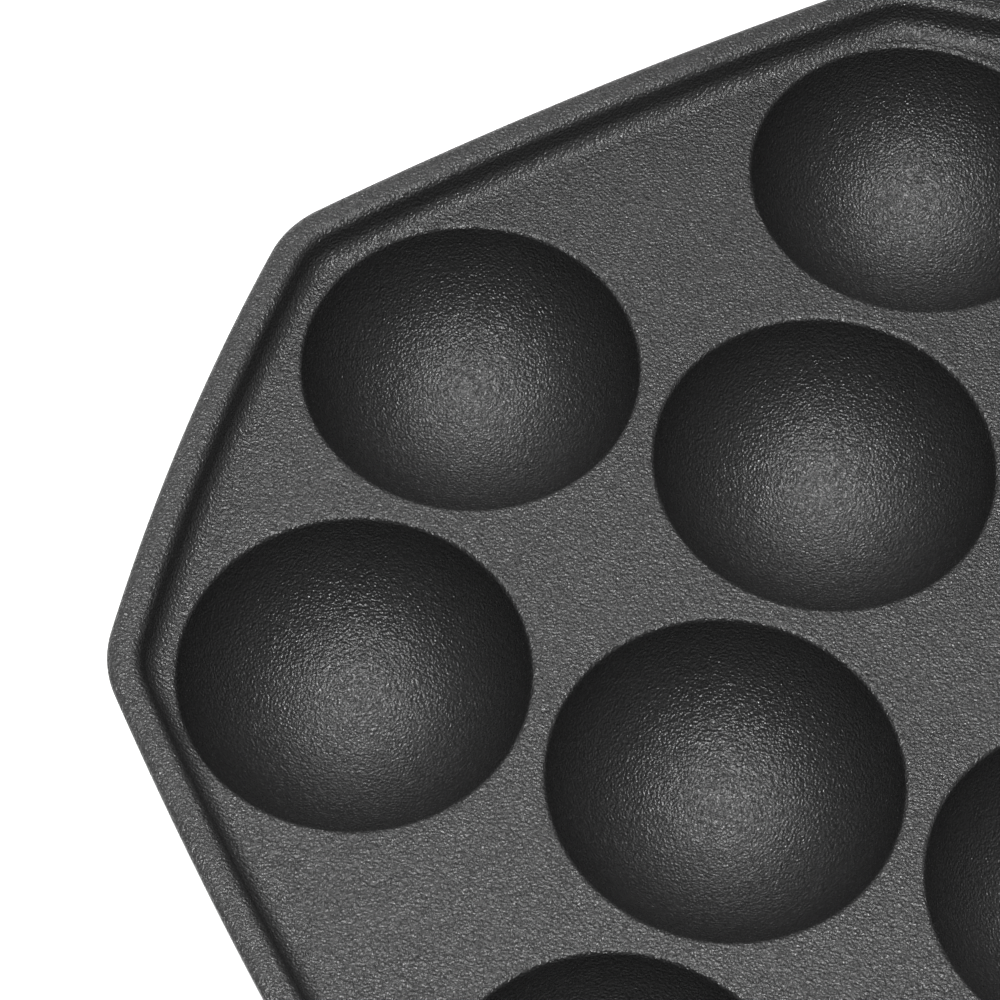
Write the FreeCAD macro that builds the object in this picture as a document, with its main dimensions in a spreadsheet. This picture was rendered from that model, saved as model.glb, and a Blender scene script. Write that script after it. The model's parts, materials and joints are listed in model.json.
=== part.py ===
"""Electric takoyaki maker: two octagonal cast plates with twelve round cups each, a tapered base and a
hinged lid.

Lengths are millimetres and angles degrees. X runs to the user's right, Y to the back and Z up. Every piece is
drawn in a working frame whose Z axis passes through the middle of the plates, with the table at Z = 0 and the
lid closed. The placements then swing the lid's pieces open about the hinge, and move everything so that the
origin lies on the table under the middle of the open maker.
"""
import FreeCAD, Part
import math
import os
import re
import Sketcher

# Every size that can be set by itself.
SIZES = {
    # cups
    "cup_radius": 20.0,
    "cup_depth": 18.0,
    "cup_land": 3.0,
    "cup_wall": 2.2,
    "cup_boss_edge": 1.4,
    "cup_foot_radius": 13.5,
    # plates
    "side_margin": 7.8,
    "diagonal_margin": 6.9,
    "side_bow": 300.0,
    "diagonal_bow": 590.0,
    "corner_radius": 13.0,
    "web_thickness": 3.0,
    "lip_height": 3.4,
    "lip_width": 3.0,
    "lip_slope": 3.4,
    "lip_thickness": 2.2,
    "lip_overhang": 3.2,
    "closed_gap": 0.6,
    "seat_width": 12.0,
    "seat_length": 14.0,
    "seat_clearance": 0.1,
    "support_boss_radius": 6.0,
    "support_boss_height": 5.0,
    "sensor_boss_radius": 5.5,
    "sensor_boss_height": 4.0,
    "tab_thickness": 2.5,
    "tab_width": 9.0,
    "tab_drop": 12.0,
    "tab_ledge": 2.0,
    "tab_wall_gap": 1.2,
    # heights of the base
    "foot_height": 5.0,
    "cover_thickness": 2.5,
    "wiring_space": 15.5,
    "reflector_sheet": 0.8,
    "cup_clearance": 6.0,
    # base housing and lid shell
    "shell_gap": 1.0,
    "shell_inset": 2.7,
    "shell_slope": 0.36,
    "shell_wall": 2.5,
    "foot_bevel": 1.2,
    "shoulder_radius": 6.0,
    "lid_rise": 36.6,
    "lid_roof": 3.0,
    "panel_margin": 12.0,
    "panel_rise": 1.2,
    "cover_clearance": 0.3,
    # hinge spine and hinge
    "spine_half_width": 35.0,
    "spine_top_gap": 5.0,
    "hinge_offset": 10.7,
    "knuckle_radius": 6.5,
    "pin_radius": 2.5,
    "pin_clearance": 0.05,
    "arm_inner": 15.5,
    "arm_width": 10.5,
    "arm_shoulder": 10.4,
    "lug_width": 5.0,
    "lug_gap": 0.4,
    "lug_plate_gap": 3.0,
    "pin_head_radius": 3.8,
    "pin_head_height": 1.6,
    "open_angle": 105.0,
    "stop_gap": 0.3,
    "stop_length": 7.0,
    # control pod and its lamps
    "pod_half_width": 30.0,
    "pod_reach": 25.7,
    "pod_floor": 16.0,
    "pod_top_gap": 5.0,
    "pod_corner_radius": 8.0,
    "catch_half_width": 14.0,
    "catch_reach": 6.5,
    "catch_thickness": 4.0,
    "lamp_spacing": 24.0,
    "lamp_radius": 3.5,
    "lamp_setback": 14.0,
    "lamp_clearance": 0.1,
    "lamp_flange": 1.0,
    "lamp_rise": 2.2,
    "lamp_shoulder": 1.65,
    "bulb_radius": 2.5,
    "bulb_length": 10.0,
    # heating element
    "tube_radius": 3.25,
    "tube_depth": 14.0,
    "tube_bend": 17.0,
    "leg_bend": 9.0,
    "leg_half_spacing": 12.0,
    "leg_end": 3.0,
    "terminal_radius": 1.5,
    "terminal_length": 5.0,
    # heat reflector and what it carries
    "reflector_clearance": 4.0,
    "reflector_wall": 5.0,
    "leg_hole_radius": 4.5,
    "support_radius": 4.0,
    "support_place": 44.0,
    "stud_radius": 1.7,
    "stud_length": 10.0,
    "stud_clearance": 0.05,
    "pillar_radius": 5.0,
    "clamp_sheet": 0.8,
    "clamp_width": 12.0,
    "clamp_foot": 8.0,
    "thermostat_radius": 7.8,
    "thermostat_flange_radius": 11.0,
    "thermostat_flange": 1.5,
    "thermostat_tail": 6.0,
    "sensor_gap": 0.3,
    "fuse_radius": 2.5,
    "fuse_length": 14.0,
    "fuse_place": 30.0,
    # feet and screws
    "foot_radius": 6.5,
    "foot_taper": 1.0,
    "foot_stem_radius": 2.5,
    "front_foot_x": 40.0,
    "front_foot_y": 44.0,
    "rear_foot_x": 24.0,
    "rear_foot_setback": 14.0,
    "screw_radius": 1.5,
    "screw_head_radius": 3.0,
    "screw_head_height": 1.5,
    "screw_length": 10.0,
    "boss_half_width": 4.0,
    "boss_length": 10.0,
    "boss_height": 9.0,
    "side_screw_inset": 8.5,
    "rear_screw_x": 28.0,
    "rear_screw_y": 80.0,
    "vent_width": 3.0,
    "vent_length": 26.0,
    "vent_place": 19.5,
    "vent_pitch": 8.0,
    "vent_count": 7,
    # power inlet and terminal block
    "inlet_width": 27.0,
    "inlet_height": 19.5,
    "inlet_depth": 22.0,
    "inlet_flange": 2.5,
    "inlet_flange_margin": 2.5,
    "inlet_level": 24.0,
    "socket_width": 24.0,
    "socket_height": 16.0,
    "socket_depth": 17.0,
    "blade_width": 2.0,
    "blade_height": 4.0,
    "blade_length": 14.0,
    "blade_spacing": 14.0,
    "earth_rise": 4.0,
    "block_width": 34.0,
    "block_length": 17.0,
    "block_height": 12.0,
    "block_place": 66.0,
    "block_hole_radius": 2.6,
    # plate release
    "button_half_width": 9.0,
    "button_height": 12.0,
    "button_face": 3.0,
    "button_proud": 0.6,
    "button_clearance": 0.4,
    "bezel_wall": 2.0,
    "bezel_setback": 1.5,
    "well_wall": 1.6,
    "stem_half_width": 3.0,
    "stem_height": 3.5,
    "stem_clearance": 0.6,
    "hook_thickness": 2.0,
    "hook_nose": 1.3,
    "hook_gap": 0.4,
    "spring_strip": 0.4,
    "spring_width": 3.6,
    # lid handle and latch
    "handle_half_width": 38.0,
    "handle_arm": 11.0,
    "handle_bar": 14.0,
    "handle_height": 14.0,
    "handle_lift": 3.0,
    "handle_reach": 32.0,
    "handle_bevel": 5.0,
    "handle_edge_radius": 3.0,
    "handle_seat": 1.5,
    "screw_seat_radius": 5.0,
    "screw_seat_land": 0.8,
    "handle_screw_radius": 2.0,
    "handle_screw_depth": 10.0,
    "latch_half_width": 8.5,
    "latch_gap": 0.7,
    "latch_ear": 4.0,
    "latch_knuckle_radius": 4.0,
    "latch_pin_radius": 1.5,
    "latch_sheet": 3.0,
    "latch_hook": 4.5,
    "latch_play": 0.8,
    "latch_standoff": 5.0,
    "latch_release": 25.0,
}

# Sizes and places that follow from the ones above.
DERIVED = {
    "pitch": "2 * cup_radius + cup_land",
    "plate_half": "1.5 * pitch + cup_radius + side_margin",
    "diagonal_half": "sqrt(2) * pitch + cup_radius + diagonal_margin",
    "cup_sphere": "(cup_radius * cup_radius + cup_depth * cup_depth) / (2 * cup_depth)",
    "cover_top": "foot_height + cover_thickness",
    "reflector_floor": "cover_top + wiring_space",
    "reflector_deck": "reflector_floor + reflector_sheet",
    "cup_foot": "reflector_deck + cup_clearance",
    "cook": "cup_foot + cup_wall + cup_depth",
    "web_under": "cook - web_thickness",
    "lip_top": "cook + lip_height",
    "lip_under": "lip_top - lip_thickness",
    "mating": "lip_top + closed_gap / 2",
    "shell_top": "web_under - shell_gap",
    "spine_top": "web_under - spine_top_gap",
    "pod_top": "web_under - pod_top_gap",
    "tube_level": "cook - tube_depth",
    "hinge_y": "plate_half + hinge_offset",
    "spine_back": "hinge_y + knuckle_radius",
    "pod_front": "plate_half + pod_reach",
    "catch_front": "pod_front + catch_reach",
    "catch_under": "pod_top - catch_thickness",
    "lid_rim": "2 * mating - shell_top",
    "lid_top": "lid_rim + lid_rise",
    "support_top": "web_under - support_boss_height",
    "sensor_top": "web_under - sensor_boss_height",
    "arm_outer": "arm_inner + arm_width",
    "inner_lug": "arm_inner - lug_gap - lug_width",
    "outer_lug": "arm_outer + lug_gap",
    "hinge_reach": "outer_lug + lug_width",
    "cover_wall": "shell_inset + (shell_top - foot_height) * shell_slope + shell_wall",
    "tab_foot": "web_under - tab_drop",
    "stem_top": "tab_foot - stem_clearance",
    "stem_low": "stem_top - stem_height",
    "button_middle": "stem_low + stem_height / 2",
    "bezel_outer": "plate_half - bezel_setback",
    "button_outer": "bezel_outer + button_proud",
    "button_back": "button_outer - button_face",
    "bezel_half_width": "button_half_width + button_clearance + bezel_wall",
    "bezel_half_height": "button_height / 2 + button_clearance + bezel_wall",
    "button_wall": "plate_half - shell_inset - (shell_top - button_middle + bezel_half_height) * shell_slope",
    "lid_button": "2 * mating - button_middle",
    "tab_outer": "button_wall - well_wall - tab_wall_gap",
    "ledge_inner": "tab_outer - tab_thickness - tab_ledge",
    "hook_front": "ledge_inner - hook_gap",
    "nose_low": "tab_foot + tab_ledge + hook_gap",
    "handle_low": "lid_rim + handle_lift",
    "handle_mid": "handle_low + handle_height / 2",
    "handle_root": "plate_half - shell_inset + handle_seat",
    "handle_front": "handle_root + handle_reach",
    "seat_wall": "plate_half - shell_inset - shell_wall",
    "screw_seat": "seat_wall - (handle_mid - lid_rim) * shell_slope - screw_seat_land",
    "latch_y": "handle_front + latch_standoff",
    "latch_z": "handle_mid",
    "latch_back": "catch_front + latch_play",
    "latch_bottom": "catch_under - latch_play - latch_sheet",
    "inlet_face": "spine_back + inlet_flange",
}

doc = FreeCAD.newDocument("takoyaki_maker")
sheet = doc.addObject("Spreadsheet::Sheet", "Sizes")
for row, (alias, size) in enumerate(SIZES.items(), 1):
    sheet.set(f"A{row}", alias)
    sheet.set(f"B{row}", str(size))
    sheet.setAlias(f"B{row}", alias)
doc.recompute()


def bind(text):
    """An expression written in the names above, with derived names written out and sheet names qualified."""
    def one(match):
        name = match[0]
        if name in DERIVED:
            return f"({bind(DERIVED[name])})"
        return f"Sizes.{name}" if name in SIZES else name
    return re.sub(r"[a-z_][a-z_0-9]*", one, str(text))


def value(text):
    """The number that such an expression gives with the sheet's present values."""
    result = sheet.evalExpression(bind(text))
    return float(getattr(result, "Value", result))


def set_size(thing, prop, text):
    """Bind one property of an object to the sheet."""
    thing.setExpression(prop, bind(text))


def new_body(label):
    """An empty body named after the piece it becomes."""
    body = doc.addObject("PartDesign::Body", label)
    body.Label = label
    return body


def new_sketch(body, plane, offset):
    """A sketch on one of the body's origin planes, moved along that plane's normal by offset."""
    sketch = body.newObject("Sketcher::SketchObject", f"{body.Label}_sketch")
    origin_plane = next(f for f in body.Origin.OriginFeatures if f.Role == f"{plane}_Plane")
    sketch.AttachmentSupport = [(origin_plane, "")]
    sketch.MapMode = "FlatFace"
    set_size(sketch, "AttachmentOffset.Base.z", offset)
    return sketch


def hold(sketch, kind, *geometry_and_size):
    """One dimension of a sketch, bound to the sheet."""
    *geometry, size = geometry_and_size
    index = sketch.addConstraint(Sketcher.Constraint(kind, *geometry, value(size)))
    sketch.setExpression(f"Constraints[{index}]", bind(size))


def add_polygon(sketch, points):
    """A closed polygon whose corners are held at pairs of expressions."""
    places = [FreeCAD.Vector(value(x), value(y), 0) for x, y in points]
    first = sketch.GeometryCount
    count = len(points)
    for i in range(count):
        sketch.addGeometry(Part.LineSegment(places[i], places[(i + 1) % count]))
    for i in range(count):
        sketch.addConstraint(Sketcher.Constraint("Coincident", first + i, 2, first + (i + 1) % count, 1))
        hold(sketch, "DistanceX", -1, 1, first + i, 1, points[i][0])
        hold(sketch, "DistanceY", -1, 1, first + i, 1, points[i][1])


def add_circle(sketch, x, y, radius):
    """A circle held at a pair of expressions."""
    centre = FreeCAD.Vector(value(x), value(y), 0)
    index = sketch.addGeometry(Part.Circle(centre, FreeCAD.Vector(0, 0, 1), value(radius)))
    hold(sketch, "DistanceX", -1, 1, index, 3, x)
    hold(sketch, "DistanceY", -1, 1, index, 3, y)
    hold(sketch, "Radius", index, radius)


def rectangle(x_low, x_high, y_low, y_high):
    """The corners of a rectangle, as expressions."""
    return [(x_low, y_low), (x_high, y_low), (x_high, y_high), (x_low, y_high)]


def octagon(body, inset, height, corner=None):
    """The plates' outline, a given distance inside their edge: eight slightly bowed sides and rounded
    corners."""
    sketch = new_sketch(body, "XY", height)
    halves = [f"(plate_half - ({inset}))", f"(diagonal_half - ({inset}))"]
    bows = [f"(side_bow - ({inset}))", f"(diagonal_bow - ({inset}))"]
    corner = corner or f"max(corner_radius - ({inset}); corner_radius / 3)"
    radius = value(corner)
    up = FreeCAD.Vector(0, 0, 1)
    sides = []
    for k in range(8):
        normal = FreeCAD.Vector(math.cos(k * math.pi / 4), math.sin(k * math.pi / 4), 0)
        sides.append((normal * (value(halves[k % 2]) - value(bows[k % 2])), value(bows[k % 2])))
    corners = []
    for k in range(8):
        (here, bow), (beyond, bow_beyond) = sides[k], sides[(k + 1) % 8]
        reach, reach_beyond = bow - radius, bow_beyond - radius
        apart = (beyond - here).Length
        along = (beyond - here) / apart
        across = FreeCAD.Vector(-along.y, along.x, 0)
        run = (reach ** 2 - reach_beyond ** 2 + apart ** 2) / (2 * apart)
        rise = math.sqrt(reach ** 2 - run ** 2)
        outward = FreeCAD.Vector(math.cos((k + 0.5) * math.pi / 4), math.sin((k + 0.5) * math.pi / 4), 0)
        corners.append(max((here + along * run + across * rise * s for s in (1, -1)), key=outward.dot))

    def arc(centre, size, start, end):
        first = math.atan2(start.y - centre.y, start.x - centre.x)
        last = math.atan2(end.y - centre.y, end.x - centre.x)
        sketch.addGeometry(Part.ArcOfCircle(Part.Circle(centre, up, size), first,
                                            last + 2 * math.pi * (last < first)))

    for k in range(8):
        arc(*sides[k], corners[k - 1], corners[k])
    for k in range(8):
        middle = corners[k]
        arc(middle, radius, middle * 2 - sides[k][0], middle * 2 - sides[(k + 1) % 8][0])
    for k in range(8):
        back = f"({halves[k % 2]} - {bows[k % 2]})"
        hold(sketch, "Radius", k, bows[k % 2])
        hold(sketch, "DistanceX", -1, 1, k, 3, f"{back} * cos({45 * k})")
        hold(sketch, "DistanceY", -1, 1, k, 3, f"{back} * sin({45 * k})")
        hold(sketch, "Radius", 8 + k, corner)
        sketch.addConstraint(Sketcher.Constraint("Tangent", k, 2, 8 + k, 1))
        sketch.addConstraint(Sketcher.Constraint("Tangent", 8 + k, 2, (k + 1) % 8, 1))
    return sketch


def feature(body, kind, sketch, **sizes):
    """A pad, pocket or revolution of a sketch, with its sizes bound to the sheet."""
    made = body.newObject(f"PartDesign::{kind}", f"{body.Label}_{kind.lower()}")
    made.Profile = sketch
    sketch.Visibility = False
    for prop, size in sizes.items():
        set_size(made, prop, size)
    return made


def pad(body, sketch, length, kind="Pad", down=False):
    """Material added (or, as a Pocket, removed) from the sketch's plane over a length."""
    made = feature(body, kind, sketch, Length=length)
    made.Reversed = down != (kind == "Pocket")
    return made


def prism(body, plane, low, high, *outlines, kind="Pad"):
    """Polygons carried from one level to another along the normal of a plane."""
    sketch = new_sketch(body, plane, low)
    for points in outlines:
        add_polygon(sketch, points)
    return pad(body, sketch, f"({high}) - ({low})", kind)


def discs(body, plane, low, high, places, radius, kind="Pad"):
    """Round bosses or holes of one radius, carried from one level to another."""
    sketch = new_sketch(body, plane, low)
    for x, y in places:
        add_circle(sketch, x, y, radius)
    return pad(body, sketch, f"({high}) - ({low})", kind)


def octagon_loft(body, stations, kind="AdditiveLoft", corner=None):
    """A tapered octagon with straight walls between stations, each a height and an inset."""
    outlines = [octagon(body, inset, height, corner) for height, inset in stations]
    made = feature(body, kind, outlines[0])
    for outline in outlines:
        outline.Visibility = False
    made.Sections = outlines[1:]
    made.Ruled = True
    return made


def turned(body, plane, points, x="0", y="0"):
    """A solid of revolution: radius and height pairs turned about an upright axis through x, y."""
    sketch = new_sketch(body, "XZ", f"-({y})")
    add_polygon(sketch, [(f"({x}) + ({r})", z) for r, z in points])
    start = FreeCAD.Vector(value(x), value(points[0][1]), 0)
    axis = sketch.addGeometry(Part.LineSegment(start, start + FreeCAD.Vector(0, 1, 0)), True)
    sketch.addConstraint(Sketcher.Constraint("Vertical", axis))
    hold(sketch, "DistanceX", -1, 1, axis, 1, x)
    hold(sketch, "DistanceY", -1, 1, axis, 1, points[0][1])
    hold(sketch, "Distance", axis, "1")
    made = feature(body, "Revolution", sketch, Angle="360")
    made.ReferenceAxis = (sketch, ["Axis0"])
    return made


def pattern(body, kind, originals, axis, **sizes):
    """A polar or linear pattern of earlier features about or along one of the body's origin axes."""
    made = body.newObject(f"PartDesign::{kind}", f"{body.Label}_pattern")
    made.Originals = originals
    origin_axis = next(f for f in body.Origin.OriginFeatures if f.Role == f"{axis}_Axis")
    setattr(made, "Direction" if kind == "LinearPattern" else "Axis", (origin_axis, [""]))
    for prop, size in sizes.items():
        set_size(made, prop, size)
    body.Tip = made
    return made


def round_edges(body, radius, chosen):
    """Fillet the edges of the solid so far that a test picks out."""
    doc.recompute()
    base = body.Tip
    names = [f"Edge{i}" for i, edge in enumerate(base.Shape.Edges, 1) if chosen(edge)]
    made = body.newObject("PartDesign::Fillet", f"{body.Label}_fillet")
    made.Base = (base, names)
    set_size(made, "Radius", radius)
    return made


def place(body, flip=None, swing=None, latch=False):
    """Move a finished piece from where it is drawn to where it rests.

    flip turns it half round about the level where the plates meet: "Y" about the axis that runs front to
    back, "X" about the one that runs left to right. swing opens it with the lid. latch swings it out on its
    own pin.
    """
    def about(axis, angle, y, z):
        centre = FreeCAD.Vector(0, y, z)
        return FreeCAD.Placement(FreeCAD.Vector(), FreeCAD.Rotation(axis, angle), centre)

    x_axis, y_axis = FreeCAD.Vector(1, 0, 0), FreeCAD.Vector(0, 1, 0)
    result = FreeCAD.Placement()
    if swing:
        result = result * about(x_axis, -value("open_angle"), value("hinge_y"), value("mating"))
    if latch:
        result = result * about(x_axis, -value("latch_release"), -value("latch_y"), value("latch_z"))
    if flip:
        result = result * about(x_axis if flip == "X" else y_axis, 180, 0, value("mating"))
    body.Placement = result


def centre(pieces):
    """Slide the placed pieces along Y so that the origin lies under the middle of them all."""
    boxes = [piece.Shape.optimalBoundingBox() for piece in pieces]
    middle = (min(box.YMin for box in boxes) + max(box.YMax for box in boxes)) / 2
    for piece in pieces:
        place = piece.Placement
        place.Base = place.Base - FreeCAD.Vector(0, middle, 0)
        piece.Placement = place
    print(f"moved along Y by {-middle:.4f}")


def quarters(distance):
    """The square of four places, one in each quarter, that supports, pillars and studs share."""
    return [(f"({a} * ({distance}))", f"({b} * ({distance}))") for a in (-1, 1) for b in (-1, 1)]


def cast_plate(label):
    """A cast plate: overhanging lip, flat web, twelve round cups with tapered bosses, and the seats under
    it."""
    body = new_body(label)
    pad(body, octagon(body, "lip_overhang", "web_under"), "lip_under - web_under")
    pad(body, octagon(body, "0", "lip_under"), "lip_thickness")
    octagon_loft(body, [("cook", "lip_width + lip_slope"), ("lip_top", "lip_width")], "SubtractiveLoft")
    centres = [("0.5", "0.5"), ("1.5", "0.5"), ("1.5", "-0.5")]
    bosses = []
    for across, along in centres:
        sketch = new_sketch(body, "XY", "web_under")
        add_circle(sketch, f"{across} * pitch", f"{along} * pitch", "cup_radius + cup_boss_edge")
        boss = pad(body, sketch, "web_under - cup_foot", down=True)
        set_size(boss, "TaperAngle",
                 "-atan((cup_radius + cup_boss_edge - cup_foot_radius) / (web_under - cup_foot))")
        bosses.append(boss)
    pattern(body, "PolarPattern", bosses, "Z", Angle="360", Occurrences="4")
    # supports, the temperature sensor and the heating element press against these
    discs(body, "XY", "support_top", "web_under", quarters("support_place"), "support_boss_radius")
    discs(body, "XY", "sensor_top", "web_under", [("0", "0")], "sensor_boss_radius")
    seat = prism(body, "XY", "tube_level", "web_under", rectangle(
        "-pitch - seat_width / 2", "-pitch + seat_width / 2", "-seat_length / 2", "seat_length / 2"))
    groove = discs(body, "XZ", "-seat_length", "seat_length", [("-pitch", "tube_level")],
                   "tube_radius + seat_clearance", "Pocket")
    pattern(body, "PolarPattern", [seat, groove], "Z", Angle="180", Occurrences="3")
    # the two side tabs with an inward ledge, which the release hooks hold
    tab = [("tab_outer", "web_under"), ("tab_outer", "tab_foot"), ("ledge_inner", "tab_foot"),
           ("ledge_inner", "tab_foot + tab_ledge"), ("tab_outer - tab_thickness", "tab_foot + tab_ledge"),
           ("tab_outer - tab_thickness", "web_under")]
    right = prism(body, "XZ", "-tab_width / 2", "tab_width / 2", tab)
    pattern(body, "PolarPattern", [right], "Z", Angle="360", Occurrences="2")
    cups = []
    for across, along in centres:
        cup = body.newObject("PartDesign::SubtractiveSphere", f"{label}_cup")
        set_size(cup, "Radius", "cup_sphere")
        set_size(cup, "AttachmentOffset.Base.x", f"{across} * pitch")
        set_size(cup, "AttachmentOffset.Base.y", f"{along} * pitch")
        set_size(cup, "AttachmentOffset.Base.z", "cook - cup_depth + cup_sphere")
        origin_plane = next(f for f in body.Origin.OriginFeatures if f.Role == "XY_Plane")
        cup.AttachmentSupport = [(origin_plane, "")]
        cup.MapMode = "FlatFace"
        cups.append(cup)
    pattern(body, "PolarPattern", cups, "Z", Angle="360", Occurrences="4")
    return body


def shell_inset_at(height, extra="0"):
    """How far inside the plate's edge the tapered housing's outer wall is at a height, plus an extra
    distance."""
    return f"shell_inset + (shell_top - ({height})) * shell_slope + ({extra})"


def lid_inset_at(height, extra="0"):
    """The same for the lid's shell, which tapers upwards."""
    return f"shell_inset + (({height}) - lid_rim) * shell_slope + ({extra})"


def bezel(body, middle):
    """The raised surround of the plate release button, on the right-hand wall."""
    prism(body, "YZ", "button_wall - shell_wall", "bezel_outer", rectangle(
        "-bezel_half_width", "bezel_half_width", f"{middle} - bezel_half_height",
        f"{middle} + bezel_half_height"))


def bezel_well(body, middle):
    """The well that the button slides in, its walls, and the window at its back for the button's stem."""
    def box(low, high, half, rise, kind):
        prism(body, "YZ", low, high,
              rectangle(f"-({half})", half, f"{middle} - ({rise})", f"{middle} + ({rise})"), kind=kind)

    half, rise = "button_half_width + button_clearance", "button_height / 2 + button_clearance"
    box("button_wall - well_wall", "bezel_outer", f"{half} + well_wall", f"{rise} + well_wall", "Pad")
    box("button_wall", "bezel_outer", half, rise, "Pocket")
    box("button_wall - well_wall", "button_wall", "stem_half_width + button_clearance",
        "stem_height / 2 + button_clearance", "Pocket")


def hook(outer):
    """A plate hook seen from the front, from its outer end to the nose over the plate's ledge."""
    return [(outer, "stem_low"), (outer, "stem_top"), ("hook_front", "stem_top"), ("hook_front", "nose_low"),
            ("hook_front + hook_gap + hook_nose", "nose_low"),
            ("hook_front + hook_gap + hook_nose", "nose_low + hook_nose / 2"),
            ("hook_front", "nose_low + hook_gap + 1.5 * hook_nose"),
            ("hook_front - hook_thickness", "nose_low + hook_gap + 1.5 * hook_nose"),
            ("hook_front - hook_thickness", "stem_low")]


def fixed_hook():
    """The hook moulded on the left-hand wall, opposite the release."""
    wall = "plate_half - shell_inset - (shell_top - stem_low) * shell_slope - shell_wall / 4"
    return [(f"-({x})", z) for x, z in hook(wall)]


def base_housing():
    """The tapered moulding that holds everything: spine and hinge lugs behind, lamp pod and catch in
    front."""
    body = new_body("base_housing")
    octagon_loft(body, [("foot_height", shell_inset_at("foot_height", "foot_bevel")),
                        ("foot_height + foot_bevel", shell_inset_at("foot_height + foot_bevel")),
                        ("shell_top", "shell_inset")], corner="corner_radius")
    wall_in = "(plate_half - cover_wall)"
    prism(body, "XY", "foot_height", "spine_top",
          rectangle("-spine_half_width", "spine_half_width", f"{wall_in} / 2", "spine_back"))
    pod = prism(body, "XY", "pod_floor", "pod_top",
                rectangle("-pod_half_width", "pod_half_width", "-pod_front", f"-{wall_in} / 2"))
    front, half = value("-pod_front"), value("pod_half_width")
    round_edges(body, "pod_corner_radius",
                lambda edge: edge.BoundBox.ZLength > 1 and edge.BoundBox.YMax < front + 0.1
                and abs(abs(edge.CenterOfMass.x) - half) < 0.1)
    prism(body, "XY", "catch_under", "pod_top",
          rectangle("-catch_half_width", "catch_half_width", "-catch_front",
                    "-pod_front + pod_corner_radius"))
    bezel(body, "button_middle")
    octagon_loft(body, [("foot_height", shell_inset_at("foot_height", "shell_wall")),
                        ("shell_top", "shell_inset + shell_wall")], "SubtractiveLoft")
    prism(body, "XY", "foot_height", "spine_top - shell_wall", rectangle(
        "-spine_half_width + shell_wall", "spine_half_width - shell_wall", f"{wall_in} / 2",
        "spine_back - shell_wall"), kind="Pocket")
    prism(body, "XY", "pod_floor + shell_wall", "pod_top - shell_wall", rectangle(
        "-pod_half_width + pod_corner_radius / 2", "pod_half_width - pod_corner_radius / 2",
        "-pod_front + shell_wall", f"-{wall_in} / 2"), kind="Pocket")
    bezel_well(body, "button_middle")
    prism(body, "XZ", "-stem_half_width", "stem_half_width", fixed_hook())
    # screw bosses for the bottom cover, beside the walls
    outer = "(plate_half - (" + shell_inset_at("cover_top", "shell_wall / 4") + "))"
    inner = f"({wall_in} - boss_length)"
    half_boss = "boss_half_width"
    prism(body, "XY", "cover_top", "cover_top + boss_height",
          rectangle(inner, outer, f"-{half_boss}", half_boss),
          rectangle(f"-{outer}", f"-{inner}", f"-{half_boss}", half_boss),
          rectangle(f"-{half_boss}", half_boss, f"-{outer}", f"-{inner}"),
          rectangle("rear_screw_x - boss_half_width", "spine_half_width - shell_wall / 2",
                    "rear_screw_y - boss_half_width", "rear_screw_y + boss_half_width"),
          rectangle("-spine_half_width + shell_wall / 2", "-rear_screw_x + boss_half_width",
                    "rear_screw_y - boss_half_width", "rear_screw_y + boss_half_width"))
    discs(body, "XY", "cover_top", "cover_top + boss_height", screw_places(), "screw_radius", "Pocket")
    # four hinge lugs, the two inclined stops and the pin's bore
    for side in ("1", "-1"):
        for start in ("inner_lug", "outer_lug"):
            low = f"{start} * {side}" if side == "1" else f"-({start} + lug_width)"
            prism(body, "YZ", low, f"{low} + lug_width", rectangle(
                "plate_half + lug_plate_gap", "spine_back", "spine_top - shell_wall / 2", "mating"))
            discs(body, "YZ", low, f"{low} + lug_width", [("hinge_y", "mating")], "knuckle_radius")
        low = "arm_inner - lug_gap" if side == "1" else "-arm_outer - lug_gap"
        prism(body, "YZ", low, f"{low} + arm_width + 2 * lug_gap", stop_profile())
    discs(body, "YZ", "-hinge_reach", "hinge_reach", [("hinge_y", "mating")], "pin_radius + pin_clearance",
          "Pocket")
    # openings for the inlet and the lamps
    prism(body, "XZ", "-spine_back", "-spine_back + 2 * shell_wall", rectangle(
        "-inlet_width / 2 - lamp_clearance", "inlet_width / 2 + lamp_clearance",
        "inlet_level - inlet_height / 2 - lamp_clearance", "inlet_level + inlet_height / 2 + lamp_clearance"),
        kind="Pocket")
    discs(body, "XY", "pod_top - 2 * shell_wall", "pod_top", lamp_places(), "lamp_radius + lamp_clearance",
          "Pocket")
    return body


def stop_profile():
    """The pad that the lid arm's heel lands on when the lid is open, square to that heel."""
    off = "(knuckle_radius + stop_gap)"

    def point(along):
        return (f"hinge_y + {off} * cos(open_angle) + ({along}) * sin(open_angle)",
                f"mating - {off} * sin(open_angle) + ({along}) * cos(open_angle)")

    return [point("0"), ("hinge_y + knuckle_radius * cos(open_angle)", "spine_top - shell_wall / 2"),
            ("spine_back", "spine_top - shell_wall / 2"), point("stop_length")]


def screw_places():
    """Where the bottom cover's screws stand."""
    wall_in = "(plate_half - cover_wall - side_screw_inset + boss_half_width)"
    return [(wall_in, "0"), (f"-{wall_in}", "0"), ("0", f"-{wall_in}"),
            ("rear_screw_x", "rear_screw_y"), ("-rear_screw_x", "rear_screw_y")]


def lamp_places():
    """Where the two lamps stand on the pod."""
    return [("-lamp_spacing / 2", "-pod_front + lamp_setback"),
            ("lamp_spacing / 2", "-pod_front + lamp_setback")]


def foot_places():
    """Where the four feet stand."""
    rear = "(spine_back - rear_foot_setback)"
    return [("-front_foot_x", "-front_foot_y"), ("front_foot_x", "-front_foot_y"),
            ("-rear_foot_x", rear), ("rear_foot_x", rear)]


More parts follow.
